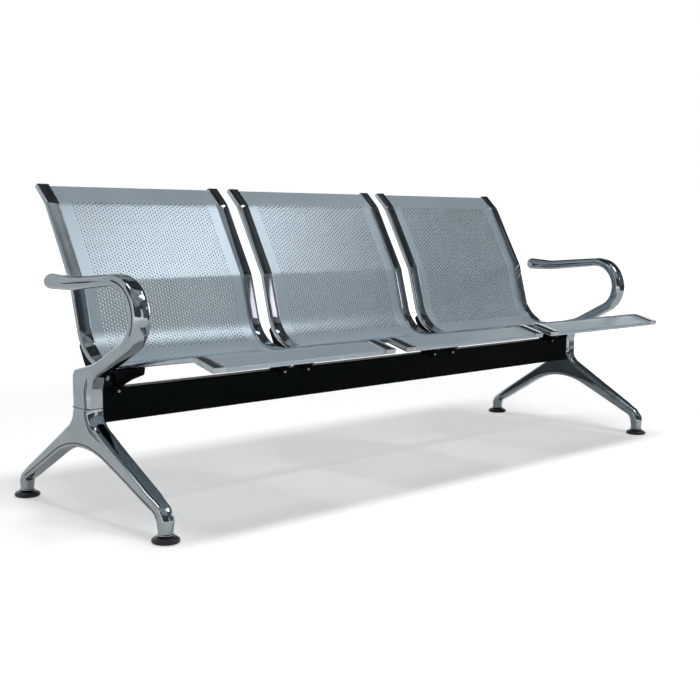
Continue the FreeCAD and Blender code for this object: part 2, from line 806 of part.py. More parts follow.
def bolt(diameter, length, seat, direction, nut_gap=None):
    """A bolt: a shank from its seat along a direction, a hexagon head, and a nut if a gap is given."""
    pieces = [
        cylinder(f"({diameter}) / 2", length, seat - direction * 0.5, direction),
        hexagon(f"({diameter}) * 1.85", f"({diameter}) * 0.6", seat, -direction),
    ]
    if nut_gap:
        nut_seat = seat + direction * nut_gap
        pieces.append(hexagon(f"({diameter}) * 1.85", f"({diameter}) * 0.7", nut_seat, direction))
    joined = DOC.addObject("Part::MultiFuse", "bolt")
    joined.Shapes = pieces
    return joined


def group(label, items):
    """Several like pieces under one name."""
    item = DOC.addObject("Part::Compound", label)
    item.Label = label
    item.Links = items
    place(item)
    return item


def build_cross_bolts():
    """The bolt across each bracket's ears, with its nut; the heads face the ends of the beam."""
    width = size("saddle_width")
    length = "Sizes.saddle_width + Sizes.cross_bolt_diameter / 2"
    bolts = []
    for x in bracket_places():
        inward = Vector(-math.copysign(1, x), 0, 0)
        seat = cross_bolt_centre() + Vector(x, 0, 0) - inward * width / 2
        bolts.append(bolt("Sizes.cross_bolt_diameter", length, seat, inward, width))
    return group("cross_bolts", bolts)


def build_tongue_bolts():
    """The bolts through the beam's rear wall into the castings' tongues."""
    bolts = []
    for hole in tongue_bolt_places():
        seat = Vector(hole.x, BEAM_BACK, hole.z)
        length = "Sizes.tongue_bolt_length"
        bolts.append(bolt("Sizes.tongue_bolt_diameter", length, seat, Vector(0, -1, 0)))
    return group("tongue_bolts", bolts)


def build_armrest_bolts():
    """The upright bolt in each leg that holds the armrest down on it."""
    bolts = []
    for _, side in SIDES:
        seat = armrest_bolt_seat() + Vector(side * size("feet_spacing") / 2, 0, 0)
        length = "Sizes.armrest_bolt_length"
        bolts.append(bolt("Sizes.armrest_bolt_diameter", length, seat, Vector(0, 0, 1)))
    return group("armrest_bolts", bolts)


def cap_ends():
    """Each end of the rail line: its placement's turn, and the corner of its cap on the underside."""
    ends = []
    for end, towards, below in [(*SEAT_POINTS[:2], 1), (*SEAT_POINTS[:-3:-1], 0)]:
        into = (towards - end).normalize()
        rise = left_of(into)
        turn = Rotation(Vector(1, 0, 0), Vector(0, into.x, into.y), Vector(0, rise.x, rise.y), "XYZ")
        corner = end - rise * size("rail_depth") * below
        ends.append((turn, Vector(-size("rail_width") / 2, corner.x, corner.y)))
    return ends


def block(length, width, height, corner, turn):
    """A plain block with its sizes as expressions."""
    item = DOC.addObject("Part::Box", "block")
    item.setExpression("Length", length)
    item.setExpression("Width", width)
    item.setExpression("Height", height)
    item.Placement = Placement(corner, turn)
    return item


def build_caps():
    """The plugs that close both ends of every rail."""
    inset = size("rail_wall") + size("fastener_clearance")
    both_insets = "2 * (Sizes.rail_wall + Sizes.fastener_clearance)"
    plug_width, plug_depth = f"Sizes.rail_width - {both_insets}", f"Sizes.rail_depth - {both_insets}"
    caps = []
    for turn, end_corner in cap_ends():
        for x in both_sides((size("seat_width") - size("rail_width")) / 2):
            corner = end_corner + Vector(x, 0, 0)
            plug_corner = corner + turn.multVec(Vector(inset, size("cap_thickness") / 2, inset))
            plate = block("Sizes.rail_width", "Sizes.cap_thickness", "Sizes.rail_depth", corner, turn)
            plug = block(plug_width, "Sizes.cap_plug_length", plug_depth, plug_corner, turn)
            joined = DOC.addObject("Part::MultiFuse", "cap")
            joined.Shapes = [plate, plug]
            caps.append(joined)
    return group("rail_caps", caps)


FEET = [
    (f"{name}_{end}", side, direction)
    for name, side in SIDES
    for end, direction in (("front", -1), ("rear", 1))
]


def place_foot(item, side, direction):
    """Carry a foot's part to its boss."""
    item.setExpression(".Placement.Base.x", f"{side} * Sizes.feet_spacing / 2")
    item.setExpression(".Placement.Base.y", f"{direction} * Sizes.feet_track / 2 + Sizes.centre_shift")


def build_stud(label, side, direction):
    """The threaded stud of a levelling foot."""
    body = new_body(label)
    radius, low = size("stud_diameter") / 2, size("stud_bottom_height")
    turned(body, "stud", rectangle(0, low, radius, low + size("stud_length")))
    place_foot(body, side, direction)
    return body


def build_foot(label, side, direction):
    """The moulded base of a levelling foot: a flat disc with a neck round its stud."""
    body = new_body(label)
    rim, neck = size("foot_diameter") / 2, size("foot_neck_diameter") / 2
    top = size("foot_boss_height") - size("foot_gap")
    corners = [
        point(0, 0),
        point(rim, 0),
        point(rim, size("foot_rim_height")),
        point(neck, size("foot_rim_height")),
        point(neck, top),
        point(0, top),
    ]
    turned(body, "base", loop_edges([(corner, 0) for corner in corners]))
    bore = "Sizes.stud_diameter + 2 * Sizes.stud_clearance"
    bottom = Vector(0, 0, size("stud_bottom_height") - size("stud_clearance"))
    drill(body, "stud_socket", bottom, Vector(0, 0, 1), bore, "Sizes.foot_diameter")
    place_foot(body, side, direction)
    return body


def finish():
    """Check every object and part, then write one file for each part."""
    DOC.recompute()
    for item in DOC.Objects:
        if "Invalid" in item.State or "Error" in item.State:
            raise RuntimeError(f"{item.Name} failed: {item.State}")
    for part in PARTS:
        if part.Shape.isNull() or not part.Shape.isValid() or not part.Shape.Solids:
            raise RuntimeError(f"{part.Label} has no valid solid")
    os.makedirs("parts", exist_ok=True)
    for part in PARTS:
        part.Shape.exportStep(f"parts/{part.Label}.step")


PARTS = [build_beam()]
for side_name, side_sign in SIDES:
    PARTS.append(build_leg(f"leg_{side_name}", side_sign))
    PARTS.append(build_armrest(f"armrest_{side_name}", side_sign))
for seat_number in SEAT_NUMBERS:
    seat_middle = f"Sizes.seat_pitch * {pitches_from_middle(seat_number)}"
    PARTS.append(build_shell(f"seat_shell_{seat_number}", seat_middle))
    for side_name, side_sign in SIDES:
        ending = f"{seat_number}_{side_name}"
        PARTS.append(build_rail(f"side_rail_{ending}", seat_middle, side_sign))
        PARTS.append(build_saddle(f"beam_saddle_{ending}", seat_middle, side_sign))
        PARTS.append(build_arm(f"seat_arm_{ending}", seat_middle, side_sign))
for foot_name, foot_side, foot_end in FEET:
    PARTS.append(build_stud(f"foot_stud_{foot_name}", foot_side, foot_end))
    PARTS.append(build_foot(f"foot_base_{foot_name}", foot_side, foot_end))
PARTS.append(build_cross_bolts())
PARTS.append(build_tongue_bolts())
PARTS.append(build_armrest_bolts())
PARTS.append(build_caps())
finish()
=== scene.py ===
"""Looks of the three-seat beam seating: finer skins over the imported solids, materials, light and camera.

Side-view points are (Y, Z) in metres, centred between the front and rear feet, as in the part's source;
SHIFT carries them to the common origin.
"""

import math
from collections import namedtuple

import bmesh
import bpy
from mathutils import Matrix, Vector


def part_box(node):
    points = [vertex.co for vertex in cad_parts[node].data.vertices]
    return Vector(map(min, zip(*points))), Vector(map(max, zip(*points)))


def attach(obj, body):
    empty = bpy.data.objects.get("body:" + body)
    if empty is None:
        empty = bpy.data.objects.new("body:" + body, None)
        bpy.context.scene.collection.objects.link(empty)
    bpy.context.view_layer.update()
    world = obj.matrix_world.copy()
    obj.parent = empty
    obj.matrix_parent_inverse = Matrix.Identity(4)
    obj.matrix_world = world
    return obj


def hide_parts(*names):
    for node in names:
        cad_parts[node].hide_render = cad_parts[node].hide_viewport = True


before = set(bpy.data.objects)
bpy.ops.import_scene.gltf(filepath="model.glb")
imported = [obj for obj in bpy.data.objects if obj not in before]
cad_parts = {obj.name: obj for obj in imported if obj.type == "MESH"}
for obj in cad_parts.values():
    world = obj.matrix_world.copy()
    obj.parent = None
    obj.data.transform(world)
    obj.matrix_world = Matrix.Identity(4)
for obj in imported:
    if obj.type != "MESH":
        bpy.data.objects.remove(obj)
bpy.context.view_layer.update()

MM = 0.001
SIDES = {"left": -1, "right": 1}
SEATS = (1, 2, 3)
SEAT_SIDES = [(number, side_name, side) for number in SEATS for side_name, side in SIDES.items()]
SEAT_PITCH = 0.579
SEAT_WIDTH = 0.542
RAIL_WIDTH = 0.034
RAIL_DEPTH = 0.013
CAP_THICKNESS = 0.003
FEET_SPACING = 1.806
FEET_TRACK = 0.542
CASTING_WIDTH = 0.044
LIMB_WIDTH = 0.040
TAPER_START, TAPER_END = 0.060, 0.125
BOSS_RADIUS = 0.017
BOSS_HEIGHT = 0.015
SEAM_HEIGHT = 0.245
SEAM_GAP = 0.0007
BEAM_TOP = 0.281
BEAM_FRONT, BEAM_BACK = 0.0035, 0.0385
COLUMN_FRONT = -0.024
SADDLE_THICKNESS = 0.003
SEAT_GAP = 0.0001
BRACKET_INSET = 0.022
PAN_ANGLE = 8.9


def shift_of_frame():
    """How far the side view lies behind the common origin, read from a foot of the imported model."""
    low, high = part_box("foot_base_left_front")
    return (low[1] + high[1]) / 2 + FEET_TRACK / 2


SHIFT = shift_of_frame()


# Side-view geometry

def point(y_mm, z_mm):
    """A side-view point from millimetres."""
    return Vector((y_mm, z_mm)) * MM


def along(start, angle, length):
    """The point that lies a length from start, at an angle up from the Y axis."""
    turn = math.radians(angle)
    return start + Vector((math.cos(turn), math.sin(turn))) * length


def left_of(direction):
    """The unit vector on the left of a direction."""
    return Vector((-direction.y, direction.x)).normalized()


def crossing(first, first_direction, second, second_direction):
    """Where two lines meet."""
    across = first_direction.x * second_direction.y - first_direction.y * second_direction.x
    gap = second - first
    return first + first_direction * ((gap.x * second_direction.y - gap.y * second_direction.x) / across)


def arc_samples(centre, start, end, turn_left):
    """Points and outward radial directions along an arc, about four degrees apart, without its end."""
    first = math.atan2(start.y - centre.y, start.x - centre.x)
    last = math.atan2(end.y - centre.y, end.x - centre.x)
    if turn_left and last < first:
        last += 2 * math.pi
    if not turn_left and last > first:
        last -= 2 * math.pi
    steps = max(int(abs(last - first) / math.radians(4)), 2)
    radius = (start - centre).length
    samples = []
    for step in range(steps):
        angle = first + (last - first) * step / steps
        radial = Vector((math.cos(angle), math.sin(angle)))
        samples.append((centre + radial * radius, radial))
    return samples


def line_samples(start, end, left, spacing=0.012):
    """Points along a line with the normal on its left, without its end."""
    steps = max(int((end - start).length / spacing), 1)
    return [(start.lerp(end, step / steps), left) for step in range(steps)]


def path_samples(points, radii):
    """(point, left normal) samples of lines and tangent arcs along an open path."""
    samples = []
    start = points[0]
    for before, corner, after, radius in zip(points, points[1:], points[2:], radii):
        back = (before - corner).normalized()
        ahead = (after - corner).normalized()
        left = left_of(-back)
        if radius == 0:
            samples += line_samples(start, corner, left)
            start = corner
            continue
        half = back.angle(ahead) / 2
        first = corner + back * (radius / math.tan(half))
        last = corner + ahead * (radius / math.tan(half))
        centre = corner + (back + ahead).normalized() * (radius / math.sin(half))
        turn_left = left.dot(centre - first) > 0
        samples += line_samples(start, first, left)
        for place, radial in arc_samples(centre, first, last, turn_left):
            samples.append((place, -radial if turn_left else radial))
        start = last
    left = left_of(points[-1] - start)
    samples += line_samples(start, points[-1], left)
    samples.append((points[-1].copy(), left))
    return samples


def seat_line():
    """The rails' face from the front tip to the top of the back, with its bend radii."""
    corner = point(100, 320)
    front_bend = along(corner, 180 - PAN_ANGLE, 0.398)
    tip = along(front_bend, 180 + 15, 0.068)
    lumbar = along(corner, 90 - 15.4, 0.199)
    top_bend = along(lumbar, 90 - 29.1, 0.2066)
    top = along(top_bend, 90 - 46.5, 0.060)
    return [tip, front_bend, corner, lumbar, top_bend, top], [0.032, 0.095, 0.030, 0.036]


SEAT_POINTS, SEAT_RADII = seat_line()
# the skins' top bend is rounder than the solids'
SOFT_RADII = SEAT_RADII[:-1] + [0.060]


def trimmed(points, length):
    """The path with a length cut from each end."""
    first = points[0] + (points[1] - points[0]).normalized() * length
    last = points[-1] + (points[-2] - points[-1]).normalized() * length
    return [first] + points[1:-1] + [last]


class Measured:
    """A sampled path that gives the place and normal at a distance along it."""

    def __init__(self, samples):
        self.samples = samples
        self.distances = [0.0]
        for (before, _), (after, _) in zip(samples, samples[1:]):
            self.distances.append(self.distances[-1] + (after - before).length)
        self.length = self.distances[-1]

    def at(self, distance):
        """The point and the left normal at a distance from the start."""
        distance = min(max(distance, 0.0), self.length)
        low, high = 0, len(self.distances) - 1
        while high - low > 1:
            middle = (low + high) // 2
            if self.distances[middle] <= distance:
                low = middle
            else:
                high = middle
        span = self.distances[high] - self.distances[low]
        share = (distance - self.distances[low]) / span if span else 0.0
        place = self.samples[low][0].lerp(self.samples[high][0], share)
        normal = self.samples[low][1].lerp(self.samples[high][1], share).normalized()
        return place, normal


# Objects

def add_piece(name, mesh, body, material, stands_for=(), sharp=35):
    """Put a mesh in the scene, shade it, give it its material, hang it on its body and hide the imported
    nodes it stands for.
    """
    mesh.polygons.foreach_set("use_smooth", [True] * len(mesh.polygons))
    mesh.set_sharp_from_angle(angle=math.radians(sharp))
    mesh.materials.append(material)
    piece = bpy.data.objects.new(name, mesh)
    bpy.context.scene.collection.objects.link(piece)
    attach(piece, body)
    if stands_for:
        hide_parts(*stands_for)
    return piece


def mesh_as_is(name, bm):
    """A mesh datablock from a bmesh, which is freed."""
    mesh = bpy.data.meshes.new(name)
    bm.to_mesh(mesh)
    bm.free()
    return mesh


def mesh_from(name, bm):
    """A mesh datablock from a bmesh, with its normals facing out."""
    bmesh.ops.recalc_face_normals(bm, faces=bm.faces[:])
    return mesh_as_is(name, bm)


def ring_loft(bm, rings):
    """Bands of quads between closed rings of equal length, with the first and last ring filled."""
    rows = [[bm.verts.new(place) for place in ring] for ring in rings]
    count = len(rows[0])
    bands = []
    for low, high in zip(rows, rows[1:]):
        band = []
        for index in range(count):
            after = (index + 1) % count
            band.append(bm.faces.new((low[index], low[after], high[after], high[index])))
        bands.append(band)
    bm.faces.new(list(reversed(rows[0])))
    bm.faces.new(rows[-1])
    return bands


def lathe(bm, profile, centre, segments=48):
    """A turned solid on a vertical axis, from (radius, height) pairs that close on the axis or in a ring."""
    rows = []
    for radius, height in profile:
        if radius == 0:
            rows.append([bm.verts.new((centre[0], centre[1], height))])
            continue
        ring = []
        for step in range(segments):
            turn = 2 * math.pi * step / segments
            ring.append(bm.verts.new((
                centre[0] + radius * math.cos(turn),
                centre[1] + radius * math.sin(turn),
                height,
            )))
        rows.append(ring)
    for low, high in zip(rows, rows[1:]):
        for step in range(segments):
            after = (step + 1) % segments
            corners = [low[step % len(low)], low[after % len(low)]]
            corners += [high[after % len(high)], high[step % len(high)]]
            bm.faces.new(list(dict.fromkeys(corners)))


# Materials

def new_material(name):
    """An empty node material with its Principled shader."""
    material = bpy.data.materials.new(name)
    material.use_nodes = True
    nodes, links = material.node_tree.nodes, material.node_tree.links
    return material, nodes, links, nodes["Principled BSDF"]


def noise(nodes, links, scale, detail=2.0):
    """A noise texture in object space."""
    coordinates = nodes.new("ShaderNodeTexCoord")
    texture = nodes.new("ShaderNodeTexNoise")
    texture.inputs["Scale"].default_value = scale
    texture.inputs["Detail"].default_value = detail
    links.new(coordinates.outputs["Object"], texture.inputs["Vector"])
    return texture


def spread(nodes, links, source, low, high):
    """A value spread between two limits."""
    remap = nodes.new("ShaderNodeMapRange")
    remap.inputs["To Min"].default_value = low
    remap.inputs["To Max"].default_value = high
    links.new(source, remap.inputs["Value"])
    return remap.outputs["Result"]


def tinted(nodes, links, source, low, high):
    """A colour between two colours."""
    ramp = nodes.new("ShaderNodeValToRGB")
    ramp.color_ramp.elements[0].position = 0.3
    ramp.color_ramp.elements[1].position = 0.7
    ramp.color_ramp.elements[0].color = (*low, 1)
    ramp.color_ramp.elements[1].color = (*high, 1)
    links.new(source, ramp.inputs["Fac"])
    return ramp.outputs["Color"]


def bump(nodes, links, shader, source, strength, distance):
    """Raise a shader's surface by a texture."""
    node = nodes.new("ShaderNodeBump")
    node.inputs["Strength"].default_value = strength
    node.inputs["Distance"].default_value = distance
    links.new(source, node.inputs["Height"])
    links.new(node.outputs["Normal"], shader.inputs["Normal"])


def metal(name, low, high, roughness, waviness, wave_scale, metallic=1.0):
    """A polished or satin metal with faint waves and a slightly uneven gloss."""
    material, nodes, links, shader = new_material(name)
    shader.inputs["Metallic"].default_value = metallic
    smudges = noise(nodes, links, 18.0, 4.0)
    links.new(tinted(nodes, links, smudges.outputs["Fac"], low, high), shader.inputs["Base Color"])
    links.new(spread(nodes, links, smudges.outputs["Fac"], *roughness), shader.inputs["Roughness"])
    waves = noise(nodes, links, wave_scale, 1.0)
    bump(nodes, links, shader, waves.outputs["Fac"], waviness, 0.01)
    return material


def coating(name, low, high, roughness, grain, grain_scale, metallic=0.0, specular=0.5):
    """A powder coat or moulded plastic with its fine grain."""
    material, nodes, links, shader = new_material(name)
    shader.inputs["Metallic"].default_value = metallic
    shader.inputs["Specular IOR Level"].default_value = specular
    cloud = noise(nodes, links, 9.0, 3.0)
    links.new(tinted(nodes, links, cloud.outputs["Fac"], low, high), shader.inputs["Base Color"])
    links.new(spread(nodes, links, cloud.outputs["Fac"], *roughness), shader.inputs["Roughness"])
    peel = noise(nodes, links, grain_scale, 2.0)
    bump(nodes, links, shader, peel.outputs["Fac"], grain, 0.001)
    return material


CHROME = metal("chrome", (0.40, 0.45, 0.48), (0.46, 0.51, 0.54), (0.05, 0.10), 0.02, 14.0)
RAIL_CHROME = metal("rail_chrome", (0.40, 0.44, 0.47), (0.62, 0.66, 0.69), (0.04, 0.09), 0.015, 9.0)
SILVER = coating(
    "silver_sheet", (0.50, 0.60, 0.67), (0.54, 0.64, 0.71), (0.31, 0.37), 0.15, 900.0, metallic=0.60,
)
# near-black chrome: painted shade for the casting grooves, the strip beside the column's ridge and the joint
# gaps
PAINTED_SHADE_CHROME = metal("chrome_painted_shade", (0.030, 0.034, 0.036), (0.060, 0.066, 0.070), (0.25, 0.35), 0.02, 14.0)
# near-black walls of the holes: painted shade inside the holes
SHADED_HOLE_WALL = coating("hole_wall_painted_shade", (0.020, 0.024, 0.027), (0.035, 0.040, 0.044), (0.45, 0.55), 0.1, 900.0)
BLACK = coating(
    "black_coat", (0.002, 0.0045, 0.005), (0.004, 0.007, 0.008), (0.30, 0.42), 0.20, 600.0, specular=0.03,
)
STEEL = metal("dark_steel", (0.16, 0.17, 0.18), (0.26, 0.27, 0.28), (0.26, 0.38), 0.02, 60.0)
ZINC = metal("zinc", (0.42, 0.44, 0.45), (0.56, 0.58, 0.59), (0.22, 0.35), 0.02, 60.0)
RUBBER = coating("foot_plastic", (0.012, 0.014, 0.016), (0.022, 0.025, 0.027), (0.24, 0.32), 0.25, 300.0)


# Castings

EDGE_RINGS = 14
GROOVE_BANDS = 3
STRIP_BAND = 4
# grooves deeper than this get the near-black chrome as painted shade
GROOVE_SHADE_DEPTH = 0.0005
RIDGE_TURN = 62
PINCH_TOP = 0.045
PINCH_SHARE = 0.15
BOSS_SLIMMING = 0.0026


def plain_profile(inset, depth):
    """(inset, depth) rings of a plain rounded edge, from the flat face to the edge."""
    rings = []
    for step in range(EDGE_RINGS):
        turn = math.pi / 2 * (1 - step / (EDGE_RINGS - 1))
        rings.append((inset * (1 - math.cos(turn)), depth * (1 - math.sin(turn))))
    return rings


def ridged_profile(inset, depth, groove):
    """Rings of an edge with a groove, a narrow strip and a ridge before it turns over."""
    strip = 0.0008
    rings = [
        (1.18 * inset, 0.0),
        (1.11 * inset, groove),
        (0.97 * inset, groove),
        (0.92 * inset, 0.2 * strip),
        (0.77 * inset, 0.5 * strip),
        (0.60 * inset, strip),
    ]
    first = math.radians(RIDGE_TURN)
    reach = 0.60 * inset / (1 - math.cos(first))
    drop = depth / math.sin(first)
    rest = EDGE_RINGS - len(rings)
    for step in range(rest):
        turn = first * (1 - (step + 1) / rest)
        rings.append((reach * (1 - math.cos(turn)), strip + drop * (math.sin(first) - math.sin(turn))))
    return rings


def mixed(first, second, share):
    """Two equal lists of rings blended."""
    return [(a + (c - a) * share, b + (d - b) * share) for (a, b), (c, d) in zip(first, second)]


# How a casting's edge is made, in metres: inset and depth of its outer edge, the ridge's share, the groove's
# depth, inset and depth of its inner edge, and the share of the strip beside the ridge that gets painted
# shade
Edge = namedtuple("Edge", "inset depth ridge groove inner_inset inner_depth strip")
EDGES = {
    "arm": Edge(0.0135, 0.013, 1.0, 0.0015, 0.0115, 0.018, 0.0),
    "plain_arm": Edge(0.0135, 0.013, 1.0, 0.0, 0.0115, 0.018, 0.0),
    "column": Edge(0.0135, 0.013, 1.0, 0.0015, 0.010, 0.012, 1.0),
    "limb": Edge(0.0065, 0.013, 1.0, 0.0, 0.010, 0.014, 0.0),
    "toe": Edge(0.014, 0.014, 0.0, 0.0, 0.014, 0.014, 0.0),
    "arch": Edge(0.0090, 0.006, 0.7, 0.0010, 0.009, 0.010, 0.0),
    "rear": Edge(0.0070, 0.007, 0.0, 0.0, 0.007, 0.007, 0.0),
    "loop": Edge(0.0100, 0.010, 0.0, 0.0, 0.0115, 0.018, 0.0),
    "pad": Edge(0.0150, 0.020, 0.0, 0.0, 0.0150, 0.020, 0.0),
}


def smoothed(edges, reach=3):
    """The edges of a closed outline averaged over their neighbours, so that one flows into the next."""
    result = []
    for index in range(len(edges)):
        window = [edges[(index + step) % len(edges)] for step in range(-reach, reach + 1)]
        result.append(Edge(*(sum(column) / len(window) for column in zip(*window))))
    return result


def boss_narrowing(z):
    """How far a boss has narrowed at a height: nothing above it, and in full at its bottom."""
    return min(max((PINCH_TOP - z) / (PINCH_TOP - BOSS_HEIGHT), 0.0), 1.0)


def pinched(place):
    """A leg's outline point, drawn in towards the middle of its boss near the floor."""
    foot = math.copysign(FEET_TRACK / 2, place.x)
    if abs(place.x - foot) > 2 * BOSS_RADIUS:
        return place
    return Vector((place.x + (foot - place.x) * PINCH_SHARE * boss_narrowing(place.y), place.y))


def half_width(y, z):
    """Half the casting's width at a side-view point: full at the column, less at the limbs and bosses."""
    full, limb = CASTING_WIDTH / 2, LIMB_WIDTH / 2
    reach = abs(y)
    if z > SEAM_HEIGHT or reach < TAPER_START:
        return full
    if reach < TAPER_END:
        return full + (limb - full) * (reach - TAPER_START) / (TAPER_END - TAPER_START)
    ankle = FEET_TRACK / 2 - 2 * BOSS_RADIUS
    if reach < ankle:
        return limb
    slimmer = BOSS_SLIMMING * boss_narrowing(z)
    return limb + (BOSS_RADIUS - limb) * min((reach - ankle) / BOSS_RADIUS, 1.0) - slimmer


def casting(name, outline, side):
    """A casting's skin: its outline carried across its width through rounded, ridged edges."""
    edges = smoothed([EDGES[kind] for _, _, kind in outline])
    outer, inner = [], []
    for (place, normal, _), edge in zip(outline, edges):
        width = half_width(place.x, place.y)
        plain = plain_profile(edge.inset, edge.depth)
        profile = mixed(plain, ridged_profile(edge.inset, edge.depth, edge.groove), edge.ridge)
        outer.append([(place + normal * inset, width - depth) for inset, depth in profile])
        profile = plain_profile(edge.inner_inset, edge.inner_depth)
        inner.append([(place + normal * inset, depth - width) for inset, depth in profile])
    levels = [[column[step] for column in outer] for step in range(EDGE_RINGS)]
    levels += [[column[step] for column in inner] for step in reversed(range(EDGE_RINGS))]
    middle = side * FEET_SPACING / 2
    rings = [[(middle + side * x, at.x + SHIFT, at.y) for at, x in level] for level in levels]
    bm = bmesh.new()
    bands = ring_loft(bm, rings)
    # groove faces, and the strip beside the column's ridge, get the near-black chrome: painted shade
    for band in bands[:GROOVE_BANDS]:
        for face, edge in zip(band, edges):
            face.material_index = int(edge.ridge * edge.groove > GROOVE_SHADE_DEPTH)
    for face, edge in zip(bands[STRIP_BAND], edges):
        face.material_index = int(edge.strip > 0.5)
    return mesh_from(name, bm)


def inward(samples):
    """Samples of a path that runs clockwise round the metal, with normals turned to the metal."""
    return [(place, -normal) for place, normal in samples]


def leg_skin(name, side):
    """One leg: a column that parts into two limbs over an arch."""
    toe, heel = FEET_TRACK / 2 + BOSS_RADIUS, FEET_TRACK / 2 - BOSS_RADIUS
    rear_knee, front_knee = Vector((toe, 0.047)), Vector((-toe, 0.066))
    rear_rise, front_rise = math.tan(math.radians(34)), math.tan(math.radians(29.6))
    rear_shoulder = Vector((BEAM_BACK, rear_knee.y + (toe - BEAM_BACK) * rear_rise))
    front_shoulder = Vector((COLUMN_FRONT, front_knee.y + (toe + COLUMN_FRONT) * front_rise))
    rear_instep, front_instep = Vector((heel, 0.042)), Vector((-heel, 0.056))
    peak = point(20, 184)
    bend, rear_knee_bend = 0.048, 0.040
    instep_bends, peak_bend = (0.015, 0.020), 0.205
    rear_toe_top, arch_toe_top, front_toe_top, limb_top = 0.055, 0.045, 0.065, 0.190
    leg_top = SEAM_HEIGHT - SEAM_GAP
    rear = path_samples(
        [Vector((BEAM_BACK, leg_top)), rear_shoulder, rear_knee, Vector((toe, BOSS_HEIGHT))],
        [bend, rear_knee_bend],
    )
    arch = path_samples(
        [Vector((heel, BOSS_HEIGHT)), rear_instep, peak, front_instep, Vector((-heel, BOSS_HEIGHT))],
        [instep_bends[0], peak_bend, instep_bends[1]],
    )
    front = path_samples(
        [Vector((-toe, BOSS_HEIGHT)), front_knee, front_shoulder, Vector((COLUMN_FRONT, leg_top))],
        [bend, bend],
    )
    outline = []
    for place, normal in inward(rear):
        outline.append((pinched(place), normal, "toe" if place.y < rear_toe_top else "rear"))
    for place, normal in inward(arch):
        outline.append((pinched(place), normal, "toe" if place.y < arch_toe_top else "arch"))
    for place, normal in inward(front):
        kind = "toe" if place.y < front_toe_top else "limb" if place.y < limb_top else "column"
        outline.append((pinched(place), normal, kind))
    return casting(name, outline, side)


def armrest_skin(name, side):
    """One armrest: a column, a forward loop and a pad that ends in a round tip."""
    origin, up = Vector((0, 0)), Vector((0, 1))
    inner, inner_radius = point(-108, 454), 0.062
    outer, outer_radius = point(-115, 454), 0.088
    lower, over, under, saddle = -28.2, -4.8, -6.2, 180 - 14.7
    inner_low, inner_high = along(inner, lower - 90, inner_radius), along(inner, under + 90, inner_radius)
    outer_low, outer_high = along(outer, lower - 90, outer_radius), along(outer, over + 90, outer_radius)
    down_back = along(origin, lower, 1)
    bottom = SEAM_HEIGHT + SEAM_GAP
    shoulder = Vector((BEAM_BACK, 0.3264))
    root_back = crossing(inner_low, down_back, shoulder, along(origin, saddle, 1))
    root_front = crossing(outer_low, down_back, Vector((COLUMN_FRONT, SEAM_HEIGHT)), up)
    dip = point(66, 0)
    dip_over = crossing(outer_high, along(origin, over, 1), dip, up)
    dip_under = crossing(inner_high, along(origin, under, 1), dip, up)
    tip_over, tip_under = point(158, 533), point(158, 496)
    shoulder_bend, saddle_bend, dip_bend, tip_bend, root_bend = 0.018, 0.120, 0.160, 0.0175, 0.055
    rear_top, column_top, groove_bottom = 0.330, 0.300, 0.420
    back = path_samples(
        [Vector((BEAM_BACK, bottom)), shoulder, root_back, inner_low], [shoulder_bend, saddle_bend],
    )
    inner_arc = arc_samples(inner, inner_low, inner_high, False)
    pad = path_samples(
        [inner_high, dip_under, tip_under, tip_over, dip_over, outer_high],
        [dip_bend, tip_bend, tip_bend, dip_bend],
    )
    outer_arc = arc_samples(outer, outer_high, outer_low, True)
    root = path_samples([outer_low, root_front, Vector((COLUMN_FRONT, bottom))], [root_bend])
    outline = []
    for place, normal in back:
        outline.append((place, normal, "rear" if place.y < rear_top else "loop"))
    for place, normal in inner_arc:
        outline.append((place, normal, "loop"))
    for place, normal in pad:
        outline.append((place, normal, "pad" if place.x > -0.070 else "loop"))
    for place, normal in inward(outer_arc):
        kind = "loop" if place.x > -0.090 else "arm" if place.y > groove_bottom else "plain_arm"
        outline.append((place, normal, kind))
    for place, normal in root:
        outline.append((place, normal, "column" if place.y < column_top else "plain_arm"))
    return casting(name, outline, side)


def seams_mesh(name):
    """Thin dark plates in the gaps between the legs and the armrests: painted shade of the gaps."""
    bm = bmesh.new()
    inset = 0.0012
    front, back = COLUMN_FRONT + inset + SHIFT, BEAM_BACK - inset + SHIFT
    for side in SIDES.values():
        left, right = (side * FEET_SPACING / 2 + step * (CASTING_WIDTH / 2 - inset) for step in (-1, 1))
        corners = [(left, front), (right, front), (right, back), (left, back)]
        heights = (SEAM_HEIGHT - 2 * SEAM_GAP, SEAM_HEIGHT + 2 * SEAM_GAP)
        ring_loft(bm, [[(*corner, height) for corner in corners] for height in heights])
    return mesh_from(name, bm)


for side_name, side in SIDES.items():
    for part_name, skin in (("leg", leg_skin), ("armrest", armrest_skin)):
        name = f"{part_name}_skin_{side_name}"
        node = f"{part_name}_{side_name}"
        piece = add_piece(name, skin(name, side), "bench", CHROME, [node], sharp=28)
        # second slot: the painted shade in the grooves and beside the ridge
        piece.data.materials.append(PAINTED_SHADE_CHROME)
# the seams: painted shade in the joint gaps
add_piece("seams", seams_mesh("seams"), "bench", PAINTED_SHADE_CHROME)


# Side rails

def rail_section():
    """(across, depth) points of a rail's rounded section, round its middle."""
    half, radius, steps = RAIL_WIDTH / 2, 0.0035, 5
    corners = [(half - radius, -radius), (half - radius, radius - RAIL_DEPTH),
               (radius - half, radius - RAIL_DEPTH), (radius - half, -radius)]
    section = []
    for (x, depth), first in zip(corners, (90, 0, -90, -180)):
        for step in range(steps + 1):
            turn = math.radians(first - 90 * step / steps)
            section.append((x + radius * math.cos(turn), depth + radius * math.sin(turn)))
    return section


